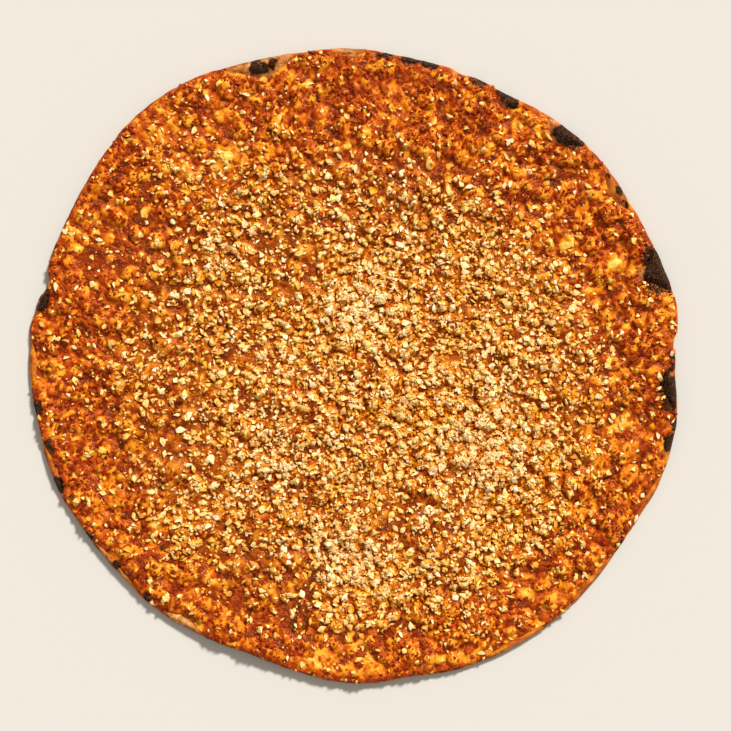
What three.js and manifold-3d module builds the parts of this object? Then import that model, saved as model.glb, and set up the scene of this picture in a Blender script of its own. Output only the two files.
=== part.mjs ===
// Lahmacun: a thin round flatbread with a baked-on spread of minced meat, strewn with chopped nuts.
// Millimetres, +Z up. The bread rests on Z = 0, and the origin is under the middle of its outline.

import * as THREE from "three";
import { mergeVertices } from "three/addons/utils/BufferGeometryUtils.js";
import Module from "manifold-3d";

const wasm = await Module();
wasm.setup();

// Driving dimensions
const meanRadius = 148.3;
const doughThickness = 2.4;
const edgeHeight = 1.1; // of the outermost edge above the underside
const liftReach = 26; // how far in from the edge the rim curls up off the table
const bareMargin = 0.9; // bread left bare outside the spread, where nothing widens it
const spreadThickness = 1.1;
const spreadEdge = 0.5; // thickness of the spread where it ends
const layerGap = 0.3; // between the bread and the spread, so that the two solids never touch

// How far the edge stands out from the mean radius, every 10 degrees from +X towards +Y.
const edgeOffsets = [
  0.5, 3.5, 1.7, 0.3, 0.6, -0.8, -3.4, -3.1, -2.8, -0.9, -0.6, 1.4, 4.6, 5.6, 3.6, 1.3, 0.8, 1.4,
  2.2, 0.5, 0.5, -1.6, -3.2, -3.2, -5.0, -6.8, -4.4, -1.5, -2.2, 0.1, 1.1, 1.2, 1.0, 0.6, 3.1, 3.2,
];
// Small dents and knobs of the edge: direction and half width in degrees, and how far out they stand.
const edgeNicks = [
  { at: 4, half: 3, out: -1.6 },
  { at: 70, half: 2.5, out: -1.0 },
  { at: 165, half: 3.5, out: -2.6 },
  { at: 173, half: 4, out: 1.2 },
];
// Stretches where the spread stops short and the dough shows: how much wider the bare margin is, and how far
// the dough there puffs up.
const barePatches = [
  { at: 17.5, half: 4.5, depth: 11, puff: 1.7 },
  { at: 34, half: 6.5, depth: 4.5, puff: 0.8 },
  { at: 48, half: 5, depth: 8, puff: 1.6 },
  { at: 60, half: 4, depth: 6, puff: 1.2 },
  { at: 79, half: 6, depth: 1.8, puff: 0.6 },
  { at: 91, half: 5, depth: 2, puff: 0.4 },
  { at: 107, half: 8, depth: 7.5, puff: 2.0 },
  { at: 168, half: 4, depth: 3.5, puff: 1.1 },
  { at: 179, half: 5, depth: 2.5, puff: 0.8 },
  { at: 199, half: 7, depth: 2.5, puff: 0.9 },
  { at: 220, half: 11, depth: 1.6, puff: 0.5 },
  { at: 236, half: 6, depth: 3.2, puff: 0.7 },
  { at: 300, half: 9, depth: 2.2, puff: 0.6 },
  { at: 318, half: 8, depth: 1.8, puff: 0.5 },
  { at: 336, half: 6, depth: 2, puff: 0.6 },
  { at: 346, half: 4, depth: 3, puff: 0.8 },
  { at: 356.5, half: 5.5, depth: 6, puff: 1.4 },
];
// The largest dough blisters under the spread: place, radius and height.
const blisters = [
  [-60, 95, 11, 1.5], [-80, 93, 8, 1.1], [-69, 108, 6, 1.0], [-15, 115, 8, 1.3], [-34, 116, 7, 1.1],
  [8, 110, 7, 1.2], [36, 95, 9, 1.1], [59, 76, 9, 1.5], [77, 88, 7, 1.0], [100, 57, 8, 1.1],
  [120, 48, 8, 1.6], [126, -26, 8, 1.3], [96, 16, 8, 1.1], [113, -9, 6, 1.0], [-130, -34, 8, 1.3],
  [-112, -60, 9, 1.4], [-92, -72, 7, 1.2], [-106, 73, 8, 1.2], [-133, 61, 7, 1.1], [-106, 34, 7, 1.1],
  [-88, -92, 7, 1.1], [-67, -97, 7, 1.0], [-14, -136, 10, 1.2], [72, -123, 7, 1.1], [-16, 86, 9, 1.1],
];
const clumpCount = 480; // clumps of mince that stand out of the spread
const clumpRadius = [4.2, 7.5];
const clumpHeight = [0.6, 1.9];
const clumpSeed = 11;

// Chopped nuts: the largest chips, strewn over all but the outer part, and thicker in a few heaps.
const chipCount = 300;
const chipSize = [4, 6]; // length of the smallest and the largest
const chipSpacing = 6.2;
const chipSunk = 0.75; // how deep the lowest corner lies in the spread
const chipSeed = 7;
const strewn = { x: 0, y: -12, radius: 122, fade: 26 };
const heaps = [
  { x: 2, y: 24, radius: 20 },
  { x: 56, y: -32, radius: 24 },
  { x: -3, y: -84, radius: 20 },
  { x: 66, y: -8, radius: 12 },
  { x: -61, y: 54, radius: 12 },
  { x: -32, y: -42, radius: 14 },
];

// Mesh resolution
const outlineSteps = 120;
const coarseRings = [1, 0.91, 0.8, 0.5, 0.25];
const spreadRingStep = 6.2;
const rimRings = [0, 0.3, 0.65]; // shares of the way from the edge to the spread
const undersideRings = [2, 9, liftReach]; // distances in from the edge

const radians = THREE.MathUtils.degToRad;
const { lerp, smoothstep, clamp } = THREE.MathUtils;

// Park and Miller's generator, so that every run strews the same chips.
function seededRandom(seed) {
  let state = seed;
  return () => {
    state = (state * 48271) % 2147483647;
    return state / 2147483647;
  };
}

// 1 at the middle of a stretch of the rim, falling to 0 at its ends. Angles in degrees.
function lobe(angle, { at, half }) {
  const away = Math.abs(((angle - at + 540) % 360) - 180);
  return away < half ? Math.cos((Math.PI / 2) * (away / half)) ** 2 : 0;
}

function sumOfLobes(angle, stretches, key) {
  return stretches.reduce((sum, stretch) => sum + stretch[key] * lobe(angle, stretch), 0);
}

// Distance of the edge from the middle: a closed cubic through the offsets, then the nicks.
function edgeRadius(angle) {
  const place = (((angle % 360) + 360) % 360) / 10;
  const first = Math.floor(place);
  const t = place - first;
  const [a, b, c, d] = [-1, 0, 1, 2].map((k) => edgeOffsets[(first + k + 36) % 36]);
  const offset = b + 0.5 * t * (c - a + t * (2 * a - 5 * b + 4 * c - d + t * (3 * (b - c) + d - a)));
  return meanRadius + offset + sumOfLobes(angle, edgeNicks, "out");
}

function marginWidth(angle) {
  return bareMargin + sumOfLobes(angle, barePatches, "depth");
}

// How high the rim curls up off the table at its edge.
function rimLift(angle) {
  const turn = radians(angle);
  return 1.7 + 0.8 * Math.sin(3 * turn + 0.7) + 0.5 * Math.sin(7 * turn + 2.1) + 0.3 * Math.sin(12 * turn);
}

function polar(x, y) {
  const angle = THREE.MathUtils.radToDeg(Math.atan2(y, x));
  return { angle, inset: edgeRadius(angle) - Math.hypot(x, y) };
}

function underside(x, y) {
  const { angle, inset } = polar(x, y);
  return rimLift(angle) * clamp(1 - inset / liftReach, 0, 1) ** 2;
}

// Top of the bare dough. It is round at the edge, and puffed between the edge and the spread.
function doughTop(x, y) {
  const { angle, inset } = polar(x, y);
  const margin = marginWidth(angle);
  const rounding = Math.sqrt(smoothstep(inset, 0, 2.2));
  const puff = 0.5 + sumOfLobes(angle, barePatches, "puff");
  const arch = Math.sin(Math.PI * clamp(inset / margin, 0, 1)) ** 0.7;
  return underside(x, y) + lerp(edgeHeight, doughThickness, rounding) + puff * arch;
}

function bump(x, y, [cx, cy, radius, height]) {
  const away = Math.hypot(x - cx, y - cy) / radius;
  return away < 1 ? height * (1 - away * away) ** 2 : 0;
}

function mincedClumps() {
  const random = seededRandom(clumpSeed);
  return Array.from({ length: clumpCount }, () => {
    const reach = (meanRadius - 6) * Math.sqrt(random());
    const turn = 2 * Math.PI * random();
    return [
      reach * Math.cos(turn), reach * Math.sin(turn),
      lerp(...clumpRadius, random()), lerp(...clumpHeight, random()),
    ];
  });
}

const clumps = mincedClumps();

function spreadTop(x, y) {
  const { angle, inset } = polar(x, y);
  const inward = smoothstep(inset - marginWidth(angle), 0, 5);
  const blistered = blisters.reduce((sum, blister) => sum + bump(x, y, blister), 0);
  const crumbly = clumps.reduce((most, clump) => Math.max(most, bump(x, y, clump)), 0);
  return doughTop(x, y) + layerGap + lerp(spreadEdge, spreadThickness + blistered + crumbly, inward);
}

// A closed loop of points round the middle, counter-clockwise from above.
function loop(steps, radiusAt, heightAt) {
  return Array.from({ length: steps }, (_, i) => {
    const angle = (360 * i) / steps;
    const radius = radiusAt(angle);
    const x = radius * Math.cos(radians(angle));
    const y = radius * Math.sin(radians(angle));
    return [x, y, heightAt(x, y)];
  });
}

// Triangles between two loops, which may differ in their number of points. They face up where the outer
// loop lies outside the inner one.
function stitch(outer, inner) {
  const triangles = [];
  let i = 0;
  let j = 0;
  while (i < outer.length || j < inner.length) {
    const outerNext = outer[(i + 1) % outer.length];
    const innerNext = inner[(j + 1) % inner.length];
    const outerHere = outer[i % outer.length];
    const innerHere = inner[j % inner.length];
    if (j === inner.length || (i < outer.length && (i + 1) / outer.length <= (j + 1) / inner.length)) {
      triangles.push([outerHere, outerNext, innerHere]);
      i += 1;
    } else {
      triangles.push([outerHere, innerNext, innerHere]);
      j += 1;
    }
  }
  return triangles;
}

// A skin through loops from the outside in, closed by a fan round the middle.
function skin(loops, heightAt) {
  const middle = [0, 0, heightAt(0, 0)];
  const last = loops.at(-1);
  const bands = loops.slice(1).flatMap((inner, k) => stitch(loops[k], inner));
  const fan = last.map((point, i) => [point, last[(i + 1) % last.length], middle]);
  return [...bands, ...fan];
}

const turnedOver = (triangles) => triangles.map(([a, b, c]) => [a, c, b]);

function geometryOf(triangles) {
  const positions = new THREE.Float32BufferAttribute(triangles.flat(2), 3);
  return mergeVertices(new THREE.BufferGeometry().setAttribute("position", positions), 1e-3);
}

// Loops that get sparser towards the middle, as shares of the way from the middle to the spread's edge.
function coarseLoops(heightAt) {
  return coarseRings.map((share) =>
    loop(
      share > 0.8 ? outlineSteps : Math.round((outlineSteps * share) / 2),
      (angle) => share * (edgeRadius(angle) - marginWidth(angle)),
      heightAt,
    ),
  );
}

function flatbreadGeometry() {
  const rim = rimRings.map((share) =>
    loop(outlineSteps, (angle) => edgeRadius(angle) - share * marginWidth(angle), doughTop),
  );
  const below = undersideRings.map((distance) =>
    loop(outlineSteps, (angle) => edgeRadius(angle) - distance, underside),
  );
  const top = skin([...rim, ...coarseLoops(doughTop)], doughTop);
  const bottom = skin([rim[0], ...below], underside);
  return geometryOf([...top, ...turnedOver(bottom)]);
}

function spreadGeometry() {
  const reach = meanRadius - bareMargin;
  const rings = Math.round(reach / spreadRingStep);
  const topLoops = Array.from({ length: rings }, (_, k) => {
    const share = 1 - k / rings;
    const evenSteps = Math.max(8, Math.round((2 * Math.PI * reach * share) / spreadRingStep));
    const steps = k === 0 ? outlineSteps : evenSteps; // the outermost stands on the bed's outline
    return loop(steps, (angle) => share * (edgeRadius(angle) - marginWidth(angle)), spreadTop);
  });
  const bedHeight = (x, y) => doughTop(x, y) + layerGap;
  const bedLoops = coarseLoops(bedHeight);
  return geometryOf([
    ...skin(topLoops, spreadTop),
    ...stitch(bedLoops[0], topLoops[0]),
    ...turnedOver(skin(bedLoops, bedHeight)),
  ]);
}

// How thickly nuts lie at a point, from 0 to 1.
function nutDensity(x, y) {
  const away = Math.hypot(x - strewn.x, y - strewn.y);
  const overall = 0.55 * (1 - smoothstep(away, strewn.radius - strewn.fade, strewn.radius));
  const heaped = heaps.reduce((sum, heap) => sum + bump(x, y, [heap.x, heap.y, heap.radius, 0.6]), 0);
  return Math.min(1, overall + heaped);
}

// Chips from the largest down, each clear of those before it.
function chipPlaces() {
  const random = seededRandom(chipSeed);
  const places = [];
  while (places.length < chipCount) {
    const x = lerp(-meanRadius, meanRadius, random());
    const y = lerp(-meanRadius, meanRadius, random());
    const kept = random() < nutDensity(x, y);
    const clear = places.every((place) => Math.hypot(place.x - x, place.y - y) > chipSpacing);
    if (kept && clear) {
      const size = lerp(chipSize[1], chipSize[0], Math.sqrt(places.length / chipCount));
      places.push({ x, y, size, turn: 360 * random(), seed: 1 + Math.floor(1e6 * random()) });
    }
  }
  return places;
}

// One broken chip: an octahedron with its corners pushed about, longer than wide and flatter than both.
function chipGeometry({ x, y, size, turn, seed }) {
  const random = seededRandom(seed);
  const push = () => 0.3 * size * (random() - 0.5);
  const geometry = new THREE.OctahedronGeometry(size / 2, 0);
  geometry.deleteAttribute("normal");
  geometry.deleteAttribute("uv");
  const chip = mergeVertices(geometry, 1e-3);
  const position = chip.getAttribute("position");
  for (let i = 0; i < position.count; i += 1) {
    position.setXYZ(i, position.getX(i) + push(), position.getY(i) + push(), position.getZ(i) + push());
  }
  chip.rotateX(radians(lerp(20, 70, random())));
  chip.scale(1, lerp(0.62, 0.9, random()), lerp(0.42, 0.62, random()));
  chip.rotateZ(radians(turn));
  chip.computeBoundingBox();
  return chip.translate(x, y, spreadTop(x, y) - chipSunk - chip.boundingBox.min.z);
}

function solidOf(geometry) {
  const vertProperties = new Float32Array(geometry.getAttribute("position").array);
  const triVerts = new Uint32Array(geometry.index.array);
  return new wasm.Manifold(new wasm.Mesh({ numProp: 3, vertProperties, triVerts }));
}

function geometryOfSolid(solid) {
  const { vertProperties, triVerts } = solid.getMesh();
  const geometry = new THREE.BufferGeometry();
  geometry.setAttribute("position", new THREE.BufferAttribute(vertProperties, 3));
  geometry.setIndex(new THREE.BufferAttribute(triVerts, 1));
  return geometry;
}

function spreadWithNuts() {
  const chips = chipPlaces().map((place) => solidOf(chipGeometry(place)));
  const joined = chips.reduce((sum, chip) => sum.add(chip), solidOf(spreadGeometry()));
  const [largest] = joined.decompose().sort((a, b) => b.volume() - a.volume());
  return geometryOfSolid(largest);
}

function food(name, geometry, color, roughness) {
  geometry.computeVertexNormals();
  const mesh = new THREE.Mesh(geometry, new THREE.MeshStandardMaterial({ color, roughness, metalness: 0 }));
  mesh.name = name;
  return mesh;
}

// Moves the pieces so that the middle of the outline's box is over the origin.
function centred(group) {
  const middle = new THREE.Box3().setFromObject(group).getCenter(new THREE.Vector3());
  group.position.set(-middle.x, -middle.y, 0);
  return group;
}

const lahmacun = new THREE.Group();
lahmacun.add(food("flatbread", flatbreadGeometry(), 0xd9a35c, 0.75));
lahmacun.add(food("meat_spread", spreadWithNuts(), 0xc4591c, 0.45));

export default centred(lahmacun);
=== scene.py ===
import math

import bpy
import numpy as np
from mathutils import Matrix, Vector


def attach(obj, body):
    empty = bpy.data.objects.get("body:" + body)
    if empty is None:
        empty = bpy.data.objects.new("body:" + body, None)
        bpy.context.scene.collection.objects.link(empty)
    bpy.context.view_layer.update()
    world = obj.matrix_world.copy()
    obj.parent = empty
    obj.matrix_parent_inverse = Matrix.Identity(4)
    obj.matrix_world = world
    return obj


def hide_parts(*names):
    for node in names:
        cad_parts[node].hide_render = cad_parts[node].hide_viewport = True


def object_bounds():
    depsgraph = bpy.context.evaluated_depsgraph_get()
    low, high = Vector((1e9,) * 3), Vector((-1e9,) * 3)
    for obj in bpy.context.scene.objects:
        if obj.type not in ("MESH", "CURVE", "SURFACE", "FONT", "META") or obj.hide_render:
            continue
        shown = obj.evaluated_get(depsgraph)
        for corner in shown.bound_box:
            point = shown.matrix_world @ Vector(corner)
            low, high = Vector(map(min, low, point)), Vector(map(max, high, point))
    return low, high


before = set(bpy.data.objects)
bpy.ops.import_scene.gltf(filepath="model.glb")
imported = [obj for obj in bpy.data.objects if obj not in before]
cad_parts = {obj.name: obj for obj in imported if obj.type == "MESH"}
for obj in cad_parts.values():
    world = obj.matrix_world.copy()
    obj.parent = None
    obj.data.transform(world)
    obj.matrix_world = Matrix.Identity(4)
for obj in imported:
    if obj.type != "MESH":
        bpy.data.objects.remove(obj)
cad_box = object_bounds()

# The bread and the spread repeat the sizes of the CAD part, with finer relief on top of them. Lengths are in
# millimetres, apart from those of the stage, which are in metres.
MM = 0.001
HIGHEST = cad_box[1][2] / MM
MEAN_RADIUS = 148.3
DOUGH_THICKNESS = 2.4
EDGE_HEIGHT = 1.1
LIFT_REACH = 26
BARE_MARGIN = 0.9
NARROW_MARGIN = 1.6
SPREAD_THICKNESS = 1.1
SPREAD_EDGE = 0.5
LAYER_GAP = 0.3

# Points in a loop round the rim and in one near the middle.
RIM_STEPS = 900
MIDDLE_STEPS = 180
SCATTER_REACH = 1.04 * MEAN_RADIUS  # half the side of the square that grains are strewn over

# How far the edge stands out from the mean radius, in equal steps of angle from +X towards +Y.
EDGE_OFFSETS = np.array([
    0.5, 3.5, 1.7, 0.3, 0.6, -0.8, -3.4, -3.1, -2.8, -0.9, -0.6, 1.4, 4.6, 5.6, 3.6, 1.3, 0.8, 1.4,
    2.2, 0.5, 0.5, -1.6, -3.2, -3.2, -5.0, -6.8, -4.4, -1.5, -2.2, 0.1, 1.1, 1.2, 1.0, 0.6, 3.1, 3.2,
])
# Direction and half width in degrees, and how far out the dent or knob stands.
EDGE_NICKS = [(4, 3, -1.6), (70, 2.5, -1.0), (165, 3.5, -2.6), (173, 4, 1.2)]
# Direction and half width in degrees, extra width of the bare margin, and how far the dough puffs up there.
BARE_PATCHES = [
    (17.5, 4.5, 11, 1.7), (34, 6.5, 4.5, 0.8), (48, 5, 8, 1.6), (60, 4, 6, 1.2), (79, 6, 1.8, 0.6),
    (91, 5, 2, 0.4), (107, 8, 7.5, 2.0), (168, 4, 3.5, 1.1), (179, 5, 2.5, 0.8), (199, 7, 2.5, 0.9),
    (220, 11, 1.6, 0.5), (236, 6, 3.2, 0.7), (300, 9, 2.2, 0.6), (318, 8, 1.8, 0.5),
    (336, 6, 2, 0.6), (346, 4, 3, 0.8), (356.5, 5.5, 6, 1.4),
]
# Place, radius and height of the largest dough blisters under the spread.
BLISTERS = [
    (-60, 95, 11, 1.5), (-80, 93, 8, 1.1), (-69, 108, 6, 1.0), (-15, 115, 8, 1.3), (-34, 116, 7, 1.1),
    (8, 110, 7, 1.2), (36, 95, 9, 1.1), (59, 76, 9, 1.5), (77, 88, 7, 1.0), (100, 57, 8, 1.1),
    (120, 48, 8, 1.6), (126, -26, 8, 1.3), (96, 16, 8, 1.1), (113, -9, 6, 1.0), (-130, -34, 8, 1.3),
    (-112, -60, 9, 1.4), (-92, -72, 7, 1.2), (-106, 73, 8, 1.2), (-133, 61, 7, 1.1), (-106, 34, 7, 1.1),
    (-88, -92, 7, 1.1), (-67, -97, 7, 1.0), (-14, -136, 10, 1.2), (72, -123, 7, 1.1), (-16, 86, 9, 1.1),
]
CLUMP_COUNT = 480
CLUMP_RADIUS = (4.2, 7.5)
CLUMP_HEIGHT = (0.6, 1.9)
CLUMP_SEED = 11

CHIP_COUNT = 300
CHIP_SIZE = (4, 6)
CHIP_SPACING = 6.2
CHIP_SUNK = 0.75
CHIP_SEED = 7
MOST_SEEDS = 1e6  # each chip has a seed of its own, up to this
STREWN = (0, -12, 122, 26)  # middle, radius, and how far in from there the nuts thin out
# Place and radius of the heaps of nuts.
HEAPS = [(3, 28, 24), (60, -36, 28), (-3, -89, 24), (66, -8, 12), (-61, 54, 12), (-36, -42, 18)]
OILED = (-60, 40, 62)  # where oil has turned most nuts golden
# Place, radius and density of more of the small nuts, or less where it is below 0.
DRIFTS = [
    (6, 27, 32, 0.8), (28, -22, 24, 0.6), (70, -34, 34, 1.0), (49, 42, 22, 0.25), (95, -72, 18, 0.4),
    (-20, 0, 18, 0.2), (2, -95, 24, 0.5), (-82, 92, 26, 0.2), (-86, -37, 50, -0.6), (20, 98, 56, -0.6),
    (-24, -122, 30, -0.4), (-88, 24, 40, -0.5), (-90, 60, 28, -0.5), (-48, -94, 42, -0.6),
    (96, 44, 40, -0.25), (-34, 56, 34, -0.55), (25, -72, 22, -0.5), (76, -96, 24, -0.15),
    (90, -16, 28, -0.5), (-110, -16, 26, -0.2), (40, -28, 24, 0.4), (-24, 90, 24, -0.3),
    (-58, 14, 28, -0.2), (18, -122, 30, -0.3), (72, 68, 22, -0.25), (40, -96, 26, -0.2),
    (48, -56, 18, -0.3), (-22, -54, 18, -0.3), (-21, 44, 16, -0.3), (-20, -95, 18, -0.3),
]
# Place and radius of patches of mince between the clumps, and how much thicker it lies there, or thinner.
MINCE_PATCHES = [
    (76, 66, 26, 0.1), (-112, -14, 26, 0.16), (-36, -128, 26, 0.14), (10, 114, 30, 0.22),
    (-136, -48, 20, 0.1), (-76, 92, 36, -0.2), (118, -40, 26, -0.26), (97, 66, 20, 0.2),
    (122, 88, 24, -0.16), (114, -96, 26, -0.06), (114, 24, 26, -0.16), (-116, 54, 28, -0.26),
    (-114, -95, 26, 0.2), (4, -140, 22, 0.12),
]
# Direction and half width in degrees of the unstained stretches of the rim, and how free of oil each is.
FLOURED = [(230, 26, 1), (107, 9, 1), (91, 6, 0.8), (53, 5, 1), (17, 5, 0.5)]

# Charred spots: direction in degrees, distance in from the edge, and radius.
CHARRED = [
    (106.9, 3.5, 4.5), (84.3, 2.0, 2.4), (80.0, 1.0, 3.0), (75.9, 0.5, 2.6), (66.6, 0.5, 2.6),
    (60.0, 2.0, 4.2), (47.0, 2.6, 5.2), (37.0, 2.2, 1.2), (33.5, 1.4, 1.6), (31.0, 2.4, 1.5),
    (19.0, 2.5, 5.6), (16.0, 4.5, 5.6), (1.0, 0.6, 2.0), (356.6, 2.8, 4.8), (353.2, 4.5, 3.6),
    (350.0, 0.8, 2.4), (346.5, 1.5, 3.0), (325.9, 0.5, 2.2), (228.5, 2.0, 2.0), (220.0, 2.0, 1.8),
    (212.7, 1.5, 2.0), (202.0, 1.4, 2.6), (194.6, 3.5, 2.6), (187.5, 1.5, 2.6), (167.8, 1.0, 4.0),
]
CHAR_STRETCH = 1.5  # how much longer the spots are along the rim than across

# Slots of the CAD part.
DOUGH = "dough"
TOPPING = "meat_and_nuts"

rng = np.random.default_rng(5)


def srgb(red, green, blue):
    """A colour given in the 8-bit values of a display, as the linear RGBA of a shader."""
    parts = np.array([red, green, blue]) / 255
    linear = np.where(parts <= 0.04045, parts / 12.92, ((parts + 0.055) / 1.055) ** 2.4)
    return (*linear.tolist(), 1.0)


def seeded_random(seed):
    """Park and Miller's generator, as in the CAD part, so that clumps and large chips land as there."""
    multiplier, modulus = 48271, 2147483647
    state = seed
    while True:
        state = state * multiplier % modulus
        yield state / modulus


def lerp(a, b, t):
    return a + (b - a) * t


def smoothstep(value, low, high):
    t = np.clip((value - low) / (high - low), 0, 1)
    return t * t * (3 - 2 * t)


def sum_of_lobes(angle, stretches, size):
    """The sizes of the stretches of the rim at an angle. Each falls from its full size to 0 at its ends."""
    total = np.zeros_like(angle)
    for stretch in stretches:
        away = np.abs((angle - stretch[0] + 180) % 360 - 180) / stretch[1]
        total += np.where(away < 1, stretch[size] * np.cos(np.pi / 2 * np.minimum(away, 1)) ** 2, 0)
    return total


def edge_radius(angle):
    """A closed cubic through the offsets, then the nicks."""
    count = len(EDGE_OFFSETS)
    place = np.mod(angle, 360) / (360 / count)
    first = np.floor(place).astype(int)
    t = place - first
    a, b, c, d = (EDGE_OFFSETS[(first + k) % count] for k in (-1, 0, 1, 2))
    offset = b + 0.5 * t * (c - a + t * (2 * a - 5 * b + 4 * c - d + t * (3 * (b - c) + d - a)))
    return MEAN_RADIUS + offset + sum_of_lobes(angle, EDGE_NICKS, 2)


def margin_width(angle):
    return BARE_MARGIN + sum_of_lobes(angle, BARE_PATCHES, 2)


def polar(x, y):
    """The direction of a point in degrees, and how far it is in from the edge."""
    angle = np.degrees(np.arctan2(y, x))
    return angle, edge_radius(angle) - np.hypot(x, y)


def underside(x, y):
    """Flat in the middle, and lifting unevenly towards the rim."""
    angle, inset = polar(x, y)
    turn = np.radians(angle)
    lift = 1.7 + 0.8 * np.sin(3 * turn + 0.7) + 0.5 * np.sin(7 * turn + 2.1) + 0.3 * np.sin(12 * turn)
    return lift * np.clip(1 - inset / LIFT_REACH, 0, 1) ** 2


def dough_top(x, y):
    """The dough's upper side: thin and rounded at the edge, and puffed where the rim is bare."""
    angle, inset = polar(x, y)
    rounding = np.sqrt(smoothstep(inset, 0, 2.2))
    puff = 0.5 + sum_of_lobes(angle, BARE_PATCHES, 3)
    arch = np.clip(np.sin(np.pi * np.clip(inset / margin_width(angle), 0, 1)), 0, 1) ** 0.7
    return underside(x, y) + lerp(EDGE_HEIGHT, DOUGH_THICKNESS, rounding) + puff * arch


def bump(x, y, cx, cy, radius, height):
    """A smooth swelling of that height, 0 from its radius outwards."""
    away = np.hypot(x - cx, y - cy) / radius
    return np.where(away < 1, height * (1 - away * away) ** 2, 0)


def minced_clumps():
    """Place, radius and height of each clump of the CAD part."""
    random = seeded_random(CLUMP_SEED)
    clumps = []
    for _ in range(CLUMP_COUNT):
        reach = (MEAN_RADIUS - 6) * math.sqrt(next(random))
        turn = 2 * math.pi * next(random)
        radius = lerp(*CLUMP_RADIUS, next(random))
        height = lerp(*CLUMP_HEIGHT, next(random))
        clumps.append((reach * math.cos(turn), reach * math.sin(turn), radius, height))
    return clumps


def nut_density(x, y):
    """How thickly nuts lie at a point, from 0 to 1."""
    cx, cy, radius, fade = STREWN
    overall = 0.55 * (1 - smoothstep(np.hypot(x - cx, y - cy), radius - fade, radius))
    heaped = sum(bump(x, y, *heap, 0.6) for heap in HEAPS)
    return np.minimum(1, overall + heaped)


class Field:
    """Heights over the bread's plan on a square grid, and a tone for each, from 0, dark, to 1, light."""

    half = 156  # half the length of the grid's side
    pitch = 0.4  # from point to point
    plain = 0.3  # the tone where nothing else sets one

    def __init__(self, values=None):
        count = int(2 * self.half / self.pitch) + 1
        self.values = np.zeros((count, count)) if values is None else values
        self.tones = np.full_like(self.values, self.plain)

    @classmethod
    def grid(cls):
        line = np.arange(int(2 * cls.half / cls.pitch) + 1) * cls.pitch - cls.half
        return np.meshgrid(line, line)

    def window(self, cx, cy, radius):
        """The rows and columns round a point, and their distances from it as shares of the radius."""
        first = np.maximum(((np.array([cy, cx]) - radius + self.half) / self.pitch).astype(int), 0)
        last = ((np.array([cy, cx]) + radius + self.half) / self.pitch).astype(int) + 2
        rows, columns = slice(first[0], last[0]), slice(first[1], last[1])
        y, x = np.ogrid[rows, columns]
        away = np.hypot(x * self.pitch - self.half - cx, y * self.pitch - self.half - cy) / radius
        return rows, columns, away[: self.values.shape[0] - first[0], : self.values.shape[1] - first[1]]

    def raise_domes(self, xs, ys, radii, heights, tones=None):
        """Raises a dome at each place, where what is there is lower."""
        tones = np.full(len(xs), self.plain) if tones is None else tones
        for x, y, radius, height, low, tone in zip(xs, ys, radii, heights, self.at(xs, ys), tones):
            rows, columns, away = self.window(x, y, radius)
            dome = low + height * np.sqrt(np.clip(1 - away * away, 0, 1))
            higher = (away < 1) & (dome > self.values[rows, columns])
            self.values[rows, columns][higher] = dome[higher]
            self.tones[rows, columns][higher] = tone

    def at(self, x, y):
        """Heights between the grid's points."""
        u = np.clip((np.asarray(x) + self.half) / self.pitch, 0, self.values.shape[1] - 1.001)
        v = np.clip((np.asarray(y) + self.half) / self.pitch, 0, self.values.shape[0] - 1.001)
        i, j = v.astype(int), u.astype(int)
        s, t = v - i, u - j
        low = lerp(self.values[i, j], self.values[i, j + 1], t)
        high = lerp(self.values[i + 1, j], self.values[i + 1, j + 1], t)
        return lerp(low, high, s)

    def tone_at(self, x, y):
        last = self.values.shape[0] - 1
        rows = np.clip(np.rint((y + self.half) / self.pitch), 0, last).astype(int)
        columns = np.clip(np.rint((x + self.half) / self.pitch), 0, last).astype(int)
        return self.tones[rows, columns]

    def blurred(self, radius):
        """A copy averaged over a square, three times, which is close to a Gaussian."""
        reach = max(1, round(radius / self.pitch))
        values = self.values
        for _ in range(3):
            for axis in (0, 1):
                padding = [(reach + 1, reach) if k == axis else (0, 0) for k in (0, 1)]
                summed = np.cumsum(np.pad(values, padding, mode="edge"), axis=axis)
                ahead = np.take(summed, range(2 * reach + 1, summed.shape[axis]), axis=axis)
                behind = np.take(summed, range(summed.shape[axis] - 2 * reach - 1), axis=axis)
                values = (ahead - behind) / (2 * reach + 1)
        return Field(values)

    def slope(self, x, y):
        step = 1.2
        along = (self.at(x + step, y) - self.at(x - step, y)) / (2 * step)
        across = (self.at(x, y + step) - self.at(x, y - step)) / (2 * step)
        return along, across


def patchy_noise(x, y, cell, seed):
    """Smooth noise from 0 to 1 with features about as large as the cell."""
    half = 200
    count = int(2 * half / cell) + 4
    lattice = np.random.default_rng(seed).random((count, count))
    u, v = (x + half) / cell, (y + half) / cell
    i, j = np.floor(v).astype(int), np.floor(u).astype(int)
    s, t = smoothstep(v - i, 0, 1), smoothstep(u - j, 0, 1)
    low = lerp(lattice[i, j], lattice[i, j + 1], t)
    high = lerp(lattice[i + 1, j], lattice[i + 1, j + 1], t)
    return lerp(low, high, s)


def layered_noise(x, y, cell, seed, octaves=3):
    """Layers of the noise, each with features half as large and half as strong as the one before."""
    total = sum(patchy_noise(x, y, cell / 2**k, seed + k) / 2**k for k in range(octaves))
    return total / (2 - 2.0 ** (1 - octaves))


def charring(x, y):
    """How charred the dough is, from 0 to 1. The spots are ragged, and run together where they overlap."""
    ragged = 0.35 + 1.3 * layered_noise(x, y, cell=2.8, seed=91, octaves=4)
    total = np.zeros_like(x)
    for angle, inset, radius in CHARRED:
        turn = math.radians(angle)
        reach = edge_radius(np.array(float(angle))) - inset
        across = x * math.cos(turn) + y * math.sin(turn) - reach
        along = (y * math.cos(turn) - x * math.sin(turn)) / CHAR_STRETCH
        away = np.hypot(across, along) / (0.85 * radius)
        total += 1 - smoothstep(away, 0.5, 1.9)
    return smoothstep(np.minimum(total, 1.6) * ragged**2, 0.3, 0.95)


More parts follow.
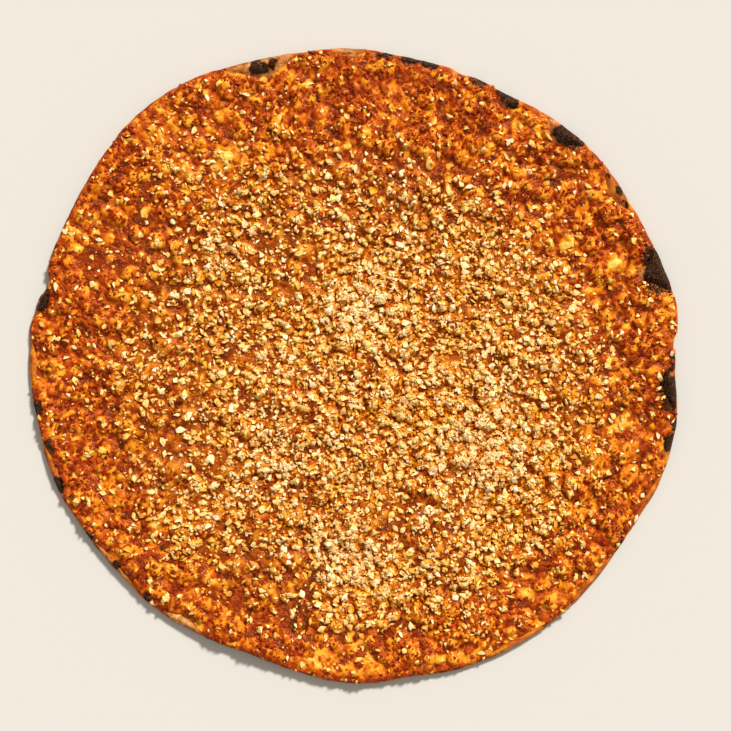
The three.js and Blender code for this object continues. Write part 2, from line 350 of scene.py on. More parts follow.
def scattered(count, density, on_dough=False):
    """Random places in the plan, kept by the density there. They keep off the bare margin unless on dough."""
    xs, ys = np.empty(0), np.empty(0)
    while len(xs) < count:
        x, y = rng.uniform(-SCATTER_REACH, SCATTER_REACH, (2, 4 * count))
        angle, inset = polar(x, y)
        margin = margin_width(angle)
        clear = inset > (0.7 if on_dough else np.where(margin < NARROW_MARGIN, 0.5, margin + 0.8))
        kept = clear & (rng.random(4 * count) < density(x, y))
        xs, ys = np.append(xs, x[kept]), np.append(ys, y[kept])
    return xs[:count], ys[:count]


# Meshes

def loop(steps, radius_at, height_at):
    """Points round the bread, with their radius by angle and their height by place."""
    angle = 360 * np.arange(steps) / steps
    radius = radius_at(angle)
    x, y = radius * np.cos(np.radians(angle)), radius * np.sin(np.radians(angle))
    return np.stack([x, y, height_at(x, y)], axis=1)


def stitch(first_outer, outer, first_inner, inner):
    """Triangles between two loops of points, given where each starts and how many it has."""
    triangles = []
    i = j = 0
    while i < outer or j < inner:
        here, there = first_outer + i % outer, first_inner + j % inner
        if j == inner or (i < outer and (i + 1) * inner <= (j + 1) * outer):
            triangles.append((here, first_outer + (i + 1) % outer, there))
            i += 1
        else:
            triangles.append((here, first_inner + (j + 1) % inner, there))
            j += 1
    return triangles


def skin(loops):
    """Points and triangles through loops from the outside in, closed round the middle."""
    points = np.concatenate([*loops, loops[-1].mean(axis=0, keepdims=True)])
    starts = np.cumsum([0, *(len(each) for each in loops)])
    triangles = []
    for k in range(len(loops) - 1):
        triangles += stitch(starts[k], len(loops[k]), starts[k + 1], len(loops[k + 1]))
    last, middle = starts[-2], len(points) - 1
    steps = len(loops[-1])
    triangles += [(last + i, last + (i + 1) % steps, middle) for i in range(steps)]
    return points, np.array(triangles)


def joined(skins):
    """Several (points, triangles) as one."""
    starts = np.cumsum([0, *(len(points) for points, _ in skins)])
    triangles = [faces + start for (_, faces), start in zip(skins, starts)]
    return np.concatenate([points for points, _ in skins]), np.concatenate(triangles)


def turned_over(points, triangles):
    """The same skin, facing the other way."""
    return points, triangles[:, ::-1]


def piece(name, points, triangles, material, slot, smooth, **attributes):
    """A mesh object that rides on the part, from points in the CAD part's millimetres."""
    mesh = bpy.data.meshes.new(name)
    mesh.vertices.add(len(points))
    mesh.vertices.foreach_set("co", ((points - MIDDLE) * MM).ravel())
    mesh.loops.add(triangles.size)
    mesh.loops.foreach_set("vertex_index", triangles.ravel().astype(np.int32))
    mesh.polygons.add(len(triangles))
    mesh.polygons.foreach_set("loop_start", np.arange(0, triangles.size, 3, dtype=np.int32))
    mesh.polygons.foreach_set("use_smooth", np.full(len(triangles), smooth))
    for key, values in attributes.items():
        domain = "POINT" if len(values) == len(points) else "FACE"
        mesh.attributes.new(key, "FLOAT", domain).data.foreach_set("value", values.astype(np.float32))
    mesh.update(calc_edges=True)
    mesh.validate()
    mesh.materials.append(material)
    made = bpy.data.objects.new(name, mesh)
    bpy.context.scene.collection.objects.link(made)
    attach(made, "root")
    return made


# Grains: chips, crumbs and clumps are octahedra with their corners pushed about, then refined.

CORNERS = np.array([(0, 1, 0), (0, 0, 1), (1, 0, 0), (0, -1, 0), (0, 0, -1), (-1, 0, 0)], float)
OCTAHEDRON = np.array([
    (0, 1, 2), (1, 3, 2), (3, 4, 2), (4, 0, 2), (0, 4, 5), (4, 3, 5), (3, 1, 5), (1, 0, 5),
])


def refined(grains, triangles, push):
    """Splits each triangle in four. Each new point moves out from its grain's middle by a random share."""
    edges = sorted({tuple(sorted(pair)) for a, b, c in triangles for pair in ((a, b), (b, c), (c, a))})
    number = {edge: grains.shape[1] + k for k, edge in enumerate(edges)}
    first, second = np.array(edges).T
    middles = (grains[:, first] + grains[:, second]) / 2
    middle = grains.mean(axis=1, keepdims=True)
    middles = middle + (middles - middle) * rng.uniform(*push, (len(grains), len(edges), 1))
    finer = []
    for a, b, c in triangles:
        ab, bc, ca = (number[tuple(sorted(pair))] for pair in ((a, b), (b, c), (c, a)))
        finer += [(a, ab, ca), (ab, b, bc), (ca, bc, c), (ab, bc, ca)]
    return np.concatenate([grains, middles], axis=1), np.array(finer)


def grain_shapes(count, unevenness, flatness):
    """Corners of random octahedra of about unit length, lying flat."""
    grains = CORNERS / 2 + unevenness * (rng.random((count, 6, 3)) - 0.5)
    tilt = rng.uniform(0.3, 1.2, count)[:, None]
    y = grains[..., 1] * np.cos(tilt) - grains[..., 2] * np.sin(tilt)
    z = grains[..., 1] * np.sin(tilt) + grains[..., 2] * np.cos(tilt)
    width = rng.uniform(0.5, 0.95, (count, 1))
    return np.stack([grains[..., 0], y * width, z * rng.uniform(*flatness, (count, 1))], axis=-1)


def laid(grains, sizes, xs, ys, ground, sunk):
    """Grains turned at random, tilted with the ground, and sunk in it by a share of their height."""
    turn = rng.uniform(0, 2 * np.pi, (len(grains), 1))
    size = np.asarray(sizes)[:, None]
    x = size * (grains[..., 0] * np.cos(turn) - grains[..., 1] * np.sin(turn))
    y = size * (grains[..., 0] * np.sin(turn) + grains[..., 1] * np.cos(turn))
    z = size * grains[..., 2]
    low, high = z.min(axis=1, keepdims=True), z.max(axis=1, keepdims=True)
    along, across = ground.slope(xs, ys)
    leaning = 0.7 * (along[:, None] * x + across[:, None] * y)
    height = z + leaning + ground.at(xs, ys)[:, None] - lerp(low, high, sunk)
    height -= np.maximum(height.max(axis=1, keepdims=True) - HIGHEST, 0)
    return np.stack([x + xs[:, None], y + ys[:, None], height], axis=-1)


def grain_piece(name, grains, triangles, material, slot, smooth=False, oil_and_shade_level=None, **per_grain):
    """All grains of one kind as one mesh, with a value for each grain, how steep each facet is, and how far
    each corner lies below the blurred ground, which the material uses for oil and for painted shade in the
    gaps."""
    count, corners, _ = grains.shape
    faces = (triangles[None] + corners * np.arange(count)[:, None, None]).reshape(-1, 3)
    values = {key: np.repeat(each, corners) for key, each in per_grain.items()}
    points = grains.reshape(-1, 3)
    a, b, c = (points[faces[:, k]] for k in range(3))
    normals = np.cross(b - a, c - a)
    values["steep"] = 1 - np.clip(normals[:, 2] / np.linalg.norm(normals, axis=1), 0, 1)
    if oil_and_shade_level:
        # Corners below the blurred ground get a value for oil and for painted shade in the gaps.
        values["deep"] = np.clip(0.35 + oil_and_shade_level.at(points[:, 0], points[:, 1]) - points[:, 2], 0, 1)
    return piece(name, points, faces, material, slot, smooth, **values)


# Materials

class Look:
    """A material in the making: its nodes and its shader."""

    def __init__(self, name, **surface):
        self.material = bpy.data.materials.new(name)
        self.material.use_nodes = True
        self.nodes = self.material.node_tree.nodes
        self.links = self.material.node_tree.links
        self.surface = self.nodes["Principled BSDF"]
        self.place = self.nodes.new("ShaderNodeTexCoord").outputs["Object"]
        for key, value in surface.items():
            self.feed(self.surface.inputs[key.replace("_", " ")], value)

    def feed(self, socket, value):
        if isinstance(value, bpy.types.NodeSocket):
            self.links.new(value, socket)
        else:
            socket.default_value = value

    def attribute(self, name):
        node = self.nodes.new("ShaderNodeAttribute")
        node.attribute_name = name
        return node.outputs["Fac"]

    def noise(self, size, detail=3.0, roughness=0.6, distortion=0.0):
        """Noise with features of about that many millimetres."""
        node = self.nodes.new("ShaderNodeTexNoise")
        self.feed(node.inputs["Vector"], self.place)
        node.inputs["Scale"].default_value = 1 / (size * MM)
        node.inputs["Detail"].default_value = detail
        node.inputs["Roughness"].default_value = roughness
        node.inputs["Distortion"].default_value = distortion
        return node.outputs["Fac"]

    def ramp(self, factor, *stops):
        """Stops are (position, colour or value)."""
        node = self.nodes.new("ShaderNodeValToRGB")
        self.feed(node.inputs["Fac"], factor)
        elements = node.color_ramp.elements
        while len(elements) < len(stops):
            elements.new(0.5)
        for element, (position, value) in zip(elements, stops):
            element.position = position
            element.color = value if isinstance(value, tuple) else (value, value, value, 1)
        return node.outputs["Color"]

    def mix(self, factor, first, second, blend="MIX"):
        """A mix of two colours. Their sockets share names with others of the node, so they go by number."""
        colour_a, colour_b, colour_out = 6, 7, 2
        node = self.nodes.new("ShaderNodeMix")
        node.data_type = "RGBA"
        node.blend_type = blend
        self.feed(node.inputs["Factor"], factor)
        self.feed(node.inputs[colour_a], first)
        self.feed(node.inputs[colour_b], second)
        return node.outputs[colour_out]

    def math(self, operation, *values):
        node = self.nodes.new("ShaderNodeMath")
        node.operation = operation
        for socket, value in zip(node.inputs, values):
            self.feed(socket, value)
        return node.outputs[0]

    def colour(self, value):
        self.feed(self.surface.inputs["Base Color"], value)

    def roughness(self, value):
        self.feed(self.surface.inputs["Roughness"], value)

    def bump(self, height, distance, strength=1.0):
        """Surface relief of up to that many millimetres."""
        node = self.nodes.new("ShaderNodeBump")
        node.inputs["Strength"].default_value = strength
        node.inputs["Distance"].default_value = distance * MM
        self.feed(node.inputs["Height"], height)
        self.feed(self.surface.inputs["Normal"], node.outputs["Normal"])


OILY = (1.0, 0.52, 0.18, 1.0)  # tint of the highlights, as the fat on everything is orange


def stained(look):
    """Colour of the spread: rust on the mince, orange to yellow where dough blisters, and amber where oil
    stands between the nuts. Its tone also holds painted shade, dark in the gaps and among the nuts, and
    painted light on raised tops."""
    unevenness = look.math("MULTIPLY_ADD", look.noise(1.7, detail=4, roughness=0.6), 0.36, -0.18)
    tone = look.math("ADD", look.attribute("tone"), unevenness)
    meaty = look.ramp(
        tone,
        (0.0, srgb(62, 14, 3)), (0.16, srgb(114, 32, 5)), (0.34, srgb(158, 52, 8)), (0.5, srgb(186, 82, 10)),
        (0.64, srgb(212, 120, 17)), (0.8, srgb(234, 156, 36)), (1.0, srgb(246, 194, 88)),
    )
    amber = look.ramp(
        tone,
        (0.0, srgb(82, 29, 4)), (0.25, srgb(122, 54, 7)), (0.5, srgb(160, 86, 11)), (1.0, srgb(232, 164, 42)),
    )
    return look.mix(look.attribute("oil"), meaty, amber)


def scorched(look, colour):
    """Blackens a colour where the bread is charred, in ragged streaks. The lighter brown streaks in the black
    are partly the char's own colour and partly painted highlights.
    """
    black = look.ramp(
        look.noise(1.6, detail=6, roughness=0.75, distortion=2.0),
        (0.4, srgb(9, 6, 6)), (0.52, srgb(38, 25, 21)), (0.68, srgb(118, 78, 56)),
    )
    browned = look.mix(look.ramp(look.attribute("char"), (0.05, 0.0), (0.6, 1.0)), colour, srgb(104, 44, 10))
    edge = look.ramp(
        look.math("ADD", look.attribute("char"), look.noise(1.2, detail=5, roughness=0.75)),
        (0.85, 0.0), (1.25, 1.0),
    )
    return look.mix(edge, browned, black)


def dough_look():
    """Baked dough: tan and floured, browned in patches, stained at the rim, and black where it is charred."""
    look = Look("baked_dough", Specular_IOR_Level=0.2, Specular_Tint=OILY)
    browned = look.ramp(
        look.noise(2.6, detail=6, roughness=0.75, distortion=1.0),
        (0.34, srgb(226, 176, 108)), (0.48, srgb(204, 138, 68)), (0.58, srgb(156, 84, 32)),
        (0.70, srgb(84, 40, 18)),
    )
    floured = look.ramp(look.noise(2.2, detail=4), (0.5, 0.0), (0.68, 0.4))
    bare = look.mix(floured, browned, srgb(238, 208, 158))
    look.colour(scorched(look, look.mix(look.attribute("stain"), bare, stained(look))))
    look.roughness(look.ramp(look.noise(3), (0.35, 0.55), (0.65, 0.75)))
    look.bump(look.noise(1.2, detail=5, roughness=0.7), 0.6)
    return look.material


def spread_look():
    """Oily minced meat and pepper baked on dough."""
    look = Look("meat_and_pepper", Specular_IOR_Level=0.5, Specular_Tint=OILY)
    look.colour(scorched(look, stained(look)))
    look.roughness(look.ramp(look.noise(2.5), (0.35, 0.16), (0.65, 0.4)))
    look.bump(look.noise(1.8, detail=3, roughness=0.6), 0.8)
    return look.material


def crumb_look():
    """Browned crumbs of mince, from orange through rust to nearly black."""
    look = Look("browned_mince", Specular_IOR_Level=0.4, Specular_Tint=OILY)
    brown = look.ramp(
        look.attribute("tint"),
        (0.0, srgb(48, 12, 3)), (0.2, srgb(122, 30, 5)), (0.5, srgb(170, 52, 8)), (0.8, srgb(200, 82, 16)),
        (1.0, srgb(222, 126, 42)),
    )
    mottled = look.ramp(look.noise(0.9, detail=3), (0.36, srgb(96, 70, 60)), (0.62, srgb(255, 240, 220)))
    look.colour(look.mix(0.7, brown, mottled, blend="MULTIPLY"))
    look.roughness(look.ramp(look.noise(0.7), (0.3, 0.18), (0.7, 0.45)))
    look.bump(look.noise(0.5, detail=4, roughness=0.7), 0.3)
    return look.material


def nut_look():
    """Chopped nuts: cream on their tops, and golden at the steep sides and lower down among the grains,
    partly where oil soaks in and partly as painted shade; the low corners are darkened too, as painted shade.
    """
    look = Look(
        "chopped_nuts", Specular_IOR_Level=0.25, Specular_Tint=(1.0, 0.7, 0.35, 1.0),
        Subsurface_Weight=0.3, Subsurface_Radius=(1.0, 0.6, 0.16), Subsurface_Scale=MM,
    )
    dry = look.ramp(
        look.attribute("tint"),
        (0.0, srgb(204, 134, 58)), (0.35, srgb(242, 192, 110)), (0.7, srgb(254, 219, 153)),
        (1.0, srgb(255, 234, 192)),
    )
    soaked = look.ramp(
        look.attribute("tint"),
        (0.0, srgb(170, 86, 6)), (0.35, srgb(214, 137, 12)), (0.75, srgb(236, 173, 28)),
        (1.0, srgb(246, 203, 72)),
    )
    # Steep facets and corners low among the grains turn golden: partly oil, partly painted shade on the sides
    # and in the gaps.
    deep = look.attribute("deep")
    sunk = look.math("MULTIPLY_ADD", deep, 1.5, -0.55)
    oil_and_side_shade = look.math("MULTIPLY_ADD", look.attribute("steep"), 1.5, sunk)
    base = look.mix(look.math("ADD", look.attribute("soak"), oil_and_side_shade), dry, soaked)
    # Low corners are darkened: painted shade in the gaps between grains.
    base = look.mix(deep, base, srgb(226, 160, 76), blend="MULTIPLY")
    flecks = look.ramp(look.noise(0.9, detail=3), (0.36, srgb(236, 176, 96)), (0.52, srgb(255, 252, 244)))
    look.colour(look.mix(0.35, base, flecks, blend="MULTIPLY"))
    look.roughness(0.38)
    look.bump(look.noise(0.8, detail=2), 0.08)
    return look.material


def leaf_look(name, dark, light):
    look = Look(name, Specular_IOR_Level=0.35, Specular_Tint=OILY)
    look.colour(look.mix(look.attribute("tint"), dark, light))
    look.roughness(0.5)
    look.bump(look.noise(0.4, detail=2), 0.1)
    return look.material


# The bread

def outline_middle():
    """The middle of the outline's box, which the CAD part puts over the origin."""
    cad_steps = 120
    outline = loop(cad_steps, edge_radius, dough_top)
    low, high = outline.min(axis=0), outline.max(axis=0)
    return np.array([(low[0] + high[0]) / 2, (low[1] + high[1]) / 2, 0])


MIDDLE = outline_middle()


def make_bread():
    """The dough, its top and its underside, in place of the CAD part's."""
    top_insets = [0, 0.25, 0.6, 1.1, 1.7, 2.4, 3.2, 4.0, 5.0, 6.0, 7.2, 8.4, 9.6, 11, 12.5, 14.5, 17]
    below_insets = [0.2, 0.6, 1.2, 2, 3.2, 5, 8, 12, 18, LIFT_REACH]

    def ragged_edge(angle):
        turn = np.radians(angle)
        x, y = MEAN_RADIUS * np.cos(turn), MEAN_RADIUS * np.sin(turn)
        return edge_radius(angle) + 1.1 * (layered_noise(x, y, cell=5, seed=31) - 0.5)

    def crusty(x, y):
        _, inset = polar(x, y)
        char = charring(x, y)
        uneven = layered_noise(x, y, cell=3.2, seed=41) - 0.5
        blistered = (1.2 + 1.6 * char) * smoothstep(inset, 0, 2) * uneven
        return dough_top(x, y) + blistered + 0.3 * char * smoothstep(inset, 0.3, 2)

    def near_rim(insets, height_at):
        return [loop(RIM_STEPS, lambda angle: ragged_edge(angle) - inset, height_at) for inset in insets]

    def near_middle(shares, height_at):
        return [loop(MIDDLE_STEPS, lambda angle: share * MEAN_RADIUS, height_at) for share in shares]

    top = near_rim(top_insets, crusty) + near_middle((0.8, 0.5, 0.2), dough_top)
    below = near_rim(below_insets, underside) + near_middle((0.6, 0.3), underside)
    points, triangles = joined([skin(top), turned_over(*skin([top[0], *below]))])
    x, y = points[:, 0], points[:, 1]
    angle, inset = polar(x, y)
    bare = smoothstep(margin_width(angle) + 3 * layered_noise(x, y, cell=3, seed=43), 2.0, 4.5)
    bare = bare * (0.25 + 0.75 * sum_of_lobes(angle, FLOURED, 2))
    upper = np.arange(len(points)) < sum(len(each) for each in top)
    patches = smoothstep(layered_noise(x, y, cell=4, seed=95), 0.48, 0.62)
    toasted = 0.32 * patches * (1 - smoothstep(inset, 0.6, 2.4))
    bread = piece(
        "bread", points, triangles, dough_look(), DOUGH, smooth=True,
        char=np.maximum(charring(x, y), toasted), stain=np.where(upper, 1 - bare, 0),
        tone=0.1 + 0.8 * layered_noise(x, y, cell=3, seed=44), oil=np.zeros_like(x),
    )
    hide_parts("flatbread")


# The spread: first its height over the plan, then the film and the grains on it

def clump_heights():
    """How far the clumps stand up over the plan."""
    field = Field()
    for cx, cy, radius, height in minced_clumps():
        rows, columns, away = field.window(cx, cy, radius)
        raised = np.where(away < 1, height * (1 - away * away) ** 2, 0)
        field.values[rows, columns] = np.maximum(field.values[rows, columns], raised)
    return field


def mince_cover(clumps):
    """How thickly mince lies, from 0 to 1: on the clumps, in ragged patches, and off the largest blisters."""
    x, y = Field.grid()
    blistered = sum(bump(x, y, cx, cy, 1.1 * radius, 0.45) for cx, cy, radius, _ in BLISTERS)
    piled = 0.36 * np.clip(clumps.values / 1.1, 0, 1) + layered_noise(x, y, cell=8.5, seed=61, octaves=4)
    piled -= blistered
    piled += 0.08 * smoothstep(np.hypot(x, y), 110, 142) + 0.08 * smoothstep(np.hypot(x, y), 134, 147)
    piled += sum(bump(x, y, *patch) for patch in MINCE_PATCHES)
    return Field(smoothstep(piled, 0.52, 0.7))


def spread_field(clumps):
    """The spread's height over the plan with its blisters and clumps, as in the CAD part."""
    x, y = Field.grid()
    blistered = sum(bump(x, y, *blister) for blister in BLISTERS)
    angle, inset = polar(x, y)
    inward = smoothstep(inset - margin_width(angle), 0, 5)
    thickness = LAYER_GAP + lerp(SPREAD_EDGE, SPREAD_THICKNESS + blistered + clumps.values, inward)
    return Field(dough_top(x, y) + np.where(inset > margin_width(angle), thickness, 0))


def roughen(field):
    """Smooth little domes where oily dough shows, and crumbs of mince where that lies."""
    x, y = Field.grid()
    _, inset = polar(x, y)
    relief = 2.1 * (layered_noise(x, y, cell=3.8, seed=57) - 0.5) + 0.9 * (mince.values - 0.5)
    field.values += relief * smoothstep(inset, 0.5, 4)
    # The oily tone is lowered where nuts lie thick: painted shade under the nuts.
    oily = 0.34 + 0.86 * layered_noise(x, y, cell=5, seed=58, octaves=4) - 0.5 * nut_density(x, y)
    meaty = 0.05 + 0.3 * layered_noise(x, y, cell=3, seed=59) + 0.22 * layered_noise(x, y, cell=9, seed=62)
    field.tones = lerp(oily, meaty, mince.values)
    count = 3400
    xs, ys = scattered(count, lambda x, y: 1 - mince.at(x, y))
    field.raise_domes(xs, ys, rng.uniform(0.9, 2.4, count), rng.uniform(0.2, 0.6, count))
    count = 11000
    xs, ys = scattered(count, mince.at)
    size = rng.random(count) ** 1.5
    tones = rng.normal(0.33, 0.12, count) - 0.3 * charring(xs, ys)
    field.raise_domes(xs, ys, lerp(0.7, 2.0, size), lerp(0.3, 0.9, size), tones)
    field.values = np.minimum(field.values, HIGHEST - 0.3)


def make_film(field):
    """The layer of spread. Its mesh is finer outside fine_from, where fewer nuts cover it."""
    reach = MEAN_RADIUS - BARE_MARGIN
    fine_from, fine_gap, fine_step, coarse_step = 98, 0.78, 0.8, 1.5
    outer = np.arange(reach, fine_from, -fine_gap)
    middle = np.arange(fine_from - 1, 0, -coarse_step)
    even = field.blurred(2.4)

    def edge_of_film(angle):
        turn = np.radians(angle)
        x, y = MEAN_RADIUS * np.cos(turn), MEAN_RADIUS * np.sin(turn)
        wide = smoothstep(margin_width(angle), BARE_MARGIN, BARE_MARGIN + 2)
        ragged = 2.6 * wide * (layered_noise(x, y, cell=3.4, seed=47) - 0.35)
        return edge_radius(angle) - margin_width(angle) - ragged

    def ring(radius):
        share = radius / reach
        step = fine_step if radius > fine_from else coarse_step
        steps = max(8, round(2 * math.pi * radius / step))
        return loop(steps, lambda angle: share * edge_of_film(angle) - 0.05, field.at)

    def half_sunk(x, y):
        return dough_top(x, y) + 0.5 * LAYER_GAP

    def bed(share):
        return loop(RIM_STEPS, lambda angle: share * edge_of_film(angle), half_sunk)

    top = [ring(radius) for radius in (*outer, *middle)]
    points, triangles = joined([skin(top), turned_over(*skin([top[0], bed(0.995), bed(0.97), bed(0.5)]))])
    x, y = points[:, 0], points[:, 1]
    angle, inset = polar(x, y)
    inward = smoothstep(inset - margin_width(angle), 0.5, 4)
    # level lightens the tone on raised tops and darkens it in hollows: painted light and painted shade.
    level = np.clip(points[:, 2] - even.at(x, y), -0.24, 0.5) * inward
    # oil makes the spread amber and darker where nuts lie thick: partly oil, partly painted shade under the
    # nuts.
    film = piece(
        "oily_spread", points, triangles, spread_look(), TOPPING, smooth=True,
        char=charring(x, y), tone=field.tone_at(x, y) + 0.7 * level, oil=0.9 * nut_density(x, y),
    )
    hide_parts("meat_spread")


def largest_chips(ground):
    """The chips of the CAD part, from the same random numbers, with finer facets."""
    random = seeded_random(CHIP_SEED)
    places = []
    while len(places) < CHIP_COUNT:
        x = lerp(-MEAN_RADIUS, MEAN_RADIUS, next(random))
        y = lerp(-MEAN_RADIUS, MEAN_RADIUS, next(random))
        kept = next(random) < nut_density(np.array(x), np.array(y))
        if kept and all(math.hypot(place[0] - x, place[1] - y) > CHIP_SPACING for place in places):
            size = lerp(CHIP_SIZE[1], CHIP_SIZE[0], math.sqrt(len(places) / CHIP_COUNT))
            turn = 2 * math.pi * next(random)
            places.append((x, y, size, turn, 1 + math.floor(MOST_SEEDS * next(random))))
    grains = np.array([chip_corners(ground, *place) for place in places])
    return grains, np.array(places)


def chip_corners(ground, x, y, size, turn, seed):
    """The six corners of one of the largest chips."""
    random = seeded_random(int(seed))
    pushes = np.array([next(random) for _ in range(18)]).reshape(6, 3) - 0.5
    corners = CORNERS * size / 2 + 0.3 * size * pushes
    tilt = math.radians(lerp(20, 70, next(random)))
    lying = corners[:, 1] * math.cos(tilt) - corners[:, 2] * math.sin(tilt)
    upright = corners[:, 1] * math.sin(tilt) + corners[:, 2] * math.cos(tilt)
    lying = lying * lerp(0.62, 0.9, next(random))
    upright = upright * lerp(0.42, 0.62, next(random))
    px = corners[:, 0] * math.cos(turn) - lying * math.sin(turn) + x
    py = corners[:, 0] * math.sin(turn) + lying * math.cos(turn) + y
    base = ground.at(x, y) - CHIP_SUNK - upright.min()
    return np.stack([px, py, upright + base], axis=-1)


def grain_colours(xs, ys, brightness):
    """Brightness of each nut and how much oil it has taken up, from 0 to 1. The heaps stay dry."""
    heaped = sum(bump(xs, ys, *heap, 1) for heap in HEAPS)
    patches = smoothstep(layered_noise(xs, ys, cell=16, seed=71), 0.35, 0.65)
    outside = 0.3 * smoothstep(np.hypot(xs, ys), 90, 115)
    golden = rng.random(len(xs)) < 0.31 - 0.3 * heaped + bump(xs, ys, *OILED, 0.3) + outside
    soak = 0.1 + 0.4 * patches - 0.6 * heaped + 0.8 * golden + rng.normal(0, 0.25, len(xs))
    tint = rng.normal(brightness, 0.24, len(xs))
    return {"tint": np.clip(tint, 0, 1), "soak": np.clip(soak, 0, 1)}


def strewn(count, sizes, density, ground, detail, unevenness, flatness, sunk, push, on_dough=False):
    """Grains of one kind strewn over the ground: their corners, triangles, places and sizes."""
    xs, ys = scattered(count, density, on_dough)
    size = lerp(sizes[0], sizes[1], rng.random(count) ** 1.2)
    grains = grain_shapes(count, unevenness, flatness)
    triangles = OCTAHEDRON
    for _ in range(detail):
        grains, triangles = refined(grains, triangles, push)
    return laid(grains, size, xs, ys, ground, sunk), triangles, xs, ys, size


def make_mince(ground):
    """Lumps and crumbs of mince, then the burnt crumbs on the charred spots."""

    def tint(x, y):
        on_dough = 0.25 * (1 - mince.at(x, y))
        return np.clip(rng.normal(0.56, 0.2, len(x)) + on_dough - 0.5 * charring(x, y), 0, 1)

    def uncovered(x, y):
        _, inset = polar(x, y)
        near_rim = 0.5 * (1 - smoothstep(inset, 2, 6))
        return np.maximum(0.05 + 0.95 * mince.at(x, y), near_rim) * (1 - 0.8 * nut_density(x, y))

    material = crumb_look()
    for name, count, sizes in (("mince_lumps", 3400, (1.4, 2.9)), ("mince_crumbs", 5800, (0.8, 1.8))):
        grains, triangles, xs, ys, size = strewn(
            count, sizes, uncovered, ground,
            detail=1, unevenness=0.45, flatness=(0.5, 0.85), sunk=0.42, push=(1.05, 1.4),
        )
        grain_piece(name, grains, triangles, material, TOPPING, tint=tint(xs, ys))
        ground.raise_domes(xs, ys, 0.42 * size, 0.22 * size)
    grains, triangles, xs, *_ = strewn(
        520, (0.7, 1.8), charring, ground,
        detail=1, unevenness=0.4, flatness=(0.4, 0.8), sunk=0.5, push=(1.05, 1.4), on_dough=True,
    )
    grain_piece("char_crumbs", grains, triangles, material, TOPPING, tint=0.06 * rng.random(len(xs)))


def make_nuts(smooth_ground, ground):
    """The largest chips of the CAD part, then the smaller nuts on and between them."""
    material = nut_look()
    grains, places = largest_chips(smooth_ground)
    grains, triangles = refined(grains, OCTAHEDRON, (1.0, 1.3))
    grains, triangles = refined(grains, triangles, (0.99, 1.05))
    xs, ys, size = places[:, 0], places[:, 1], places[:, 2]
    ground.raise_domes(xs, ys, 0.42 * size, 0.3 * size)
    kinds = [("nut_chips_large", grains, triangles, True, grain_colours(xs, ys, 0.75))]
    for name, count, sizes, detail in (
        ("nut_chips", 5800, (1.8, 4.0), 1),
        ("nut_crumbs", 12500, (1.2, 2.6), 0),
        ("nut_grit", 5500, (0.5, 1.1), 0),
    ):
        grains, triangles, xs, ys, size = strewn(
            count, sizes, strewn_nuts, ground,
            detail=detail, unevenness=0.45, flatness=(0.4, 0.75), sunk=0.2, push=(1.0, 1.25),
        )
        kinds.append((name, grains, triangles, False, grain_colours(xs, ys, 0.74)))
        ground.raise_domes(xs, ys, 0.4 * size, 0.3 * size)
    # A blurred copy of the ground, to find the corners that get oil and painted shade.
    oil_and_shade_level = ground.blurred(1.6)
    for name, grains, triangles, smooth, colours in kinds:
        grain_piece(name, grains, triangles, material, TOPPING, smooth, oil_and_shade_level, **colours)


def strewn_nuts(x, y):
    """Density of the smaller nuts: as the largest, drifted together in places, and a few out to the rim."""
    reach = np.hypot(x, y + 8)
    thin = 0.2 * (1 - smoothstep(reach, 108, 140)) + 0.06
    drifted = sum(bump(x, y, *drift) for drift in DRIFTS)
    patchy = 0.45 + 0.8 * layered_noise(x, y, cell=6, seed=81)
    return np.clip(0.55 * np.maximum(nut_density(x, y) + thin + drifted, 0.5 * thin) * patchy, 0, 1)


def make_specks(ground):
    """Flakes of dried herb and red pepper."""
    herb = leaf_look("dried_herb", srgb(22, 22, 14), srgb(74, 66, 34))
    pepper = leaf_look("red_pepper", srgb(150, 24, 8), srgb(206, 58, 20))

    def anywhere(x, y):
        return np.full_like(x, 0.6)

    for name, count, sizes, material, flatness in (
        ("herb_flakes", 240, (0.7, 2.0), herb, (0.15, 0.3)),
        ("pepper_flakes", 190, (0.9, 2.6), pepper, (0.2, 0.4)),
    ):
        grains, triangles, *_ = strewn(
            count, sizes, anywhere, ground,
            detail=1, unevenness=0.4, flatness=flatness, sunk=0.15, push=(1.1, 1.3),
        )
        grain_piece(name, grains, triangles, material, TOPPING, tint=rng.random(count))


# The stage

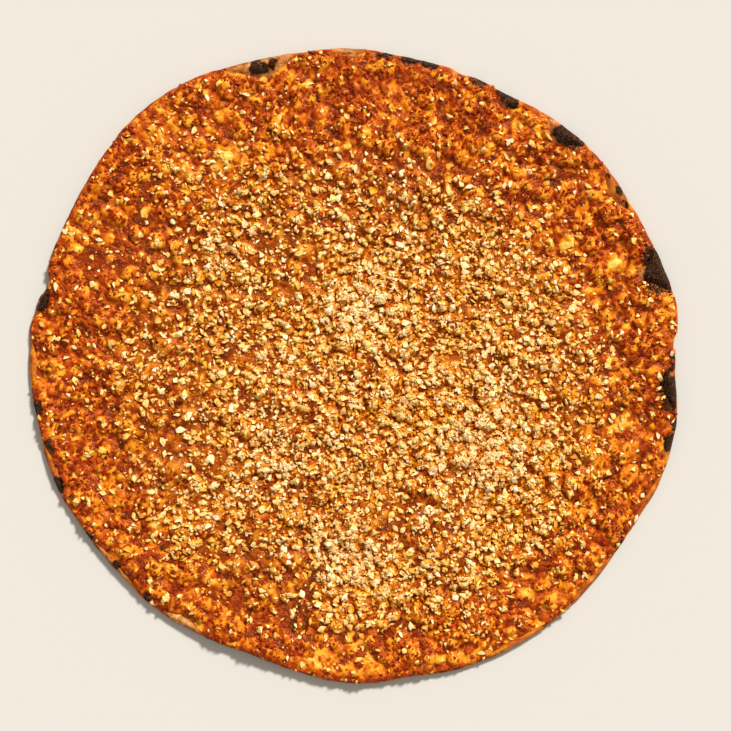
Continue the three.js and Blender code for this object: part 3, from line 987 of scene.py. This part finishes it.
def make_stage():
    mesh = bpy.data.meshes.new("floor")
    half, below = 3, 0.0002
    corners = [(-half, -half, 0), (half, -half, 0), (half, half, 0), (-half, half, 0)]
    mesh.from_pydata(corners, [], [(0, 1, 2, 3)])
    floor = bpy.data.objects.new("floor", mesh)
    floor.location.z = -below
    look = Look("floor", Roughness=0.9, Specular_IOR_Level=0.1)
    look.colour(srgb(204, 201, 196))
    mesh.materials.append(look.material)
    bpy.context.scene.collection.objects.link(floor)


def make_camera():
    """Looks straight down. The photograph's middle is 5 mm to the right of the bread's."""
    distance, width, sensor = 1.2, 0.3395, 36
    right, up = 0.0053, 0.0005
    data = bpy.data.cameras.new("camera")
    data.sensor_width = sensor
    data.lens = sensor * distance / width
    camera = bpy.data.objects.new("camera", data)
    camera.location = (right - MIDDLE[0] * MM, up - MIDDLE[1] * MM, distance)
    bpy.context.scene.collection.objects.link(camera)
    bpy.context.scene.camera = camera


def make_lights():
    """One key light from the top of the picture, a little to the right, and soft light from all round."""
    turn, elevation = math.radians(30), math.radians(44)
    level = math.cos(elevation)
    towards = Vector((math.sin(turn) * level, math.cos(turn) * level, math.sin(elevation)))
    data = bpy.data.lights.new("key", "SUN")
    data.energy = 4.5
    data.angle = math.radians(9)
    data.color = (1.0, 0.97, 0.92)
    key = bpy.data.objects.new("key", data)
    key.rotation_mode = "QUATERNION"
    key.rotation_quaternion = towards.to_track_quat("Z", "Y")
    bpy.context.scene.collection.objects.link(key)
    world = bpy.data.worlds.new("soft")
    world.use_nodes = True
    background = world.node_tree.nodes["Background"]
    background.inputs["Color"].default_value = (1, 0.93, 0.84, 1)
    background.inputs["Strength"].default_value = 0.48
    bpy.context.scene.world = world


clumps = clump_heights()
mince = mince_cover(clumps)
smooth_ground = spread_field(clumps)
ground = Field(smooth_ground.values.copy())
roughen(ground)
make_bread()
make_film(ground)
make_mince(ground)
make_nuts(smooth_ground, ground)
make_specks(ground)
make_stage()
make_camera()
make_lights()
bpy.context.scene.view_settings.view_transform = "Standard"
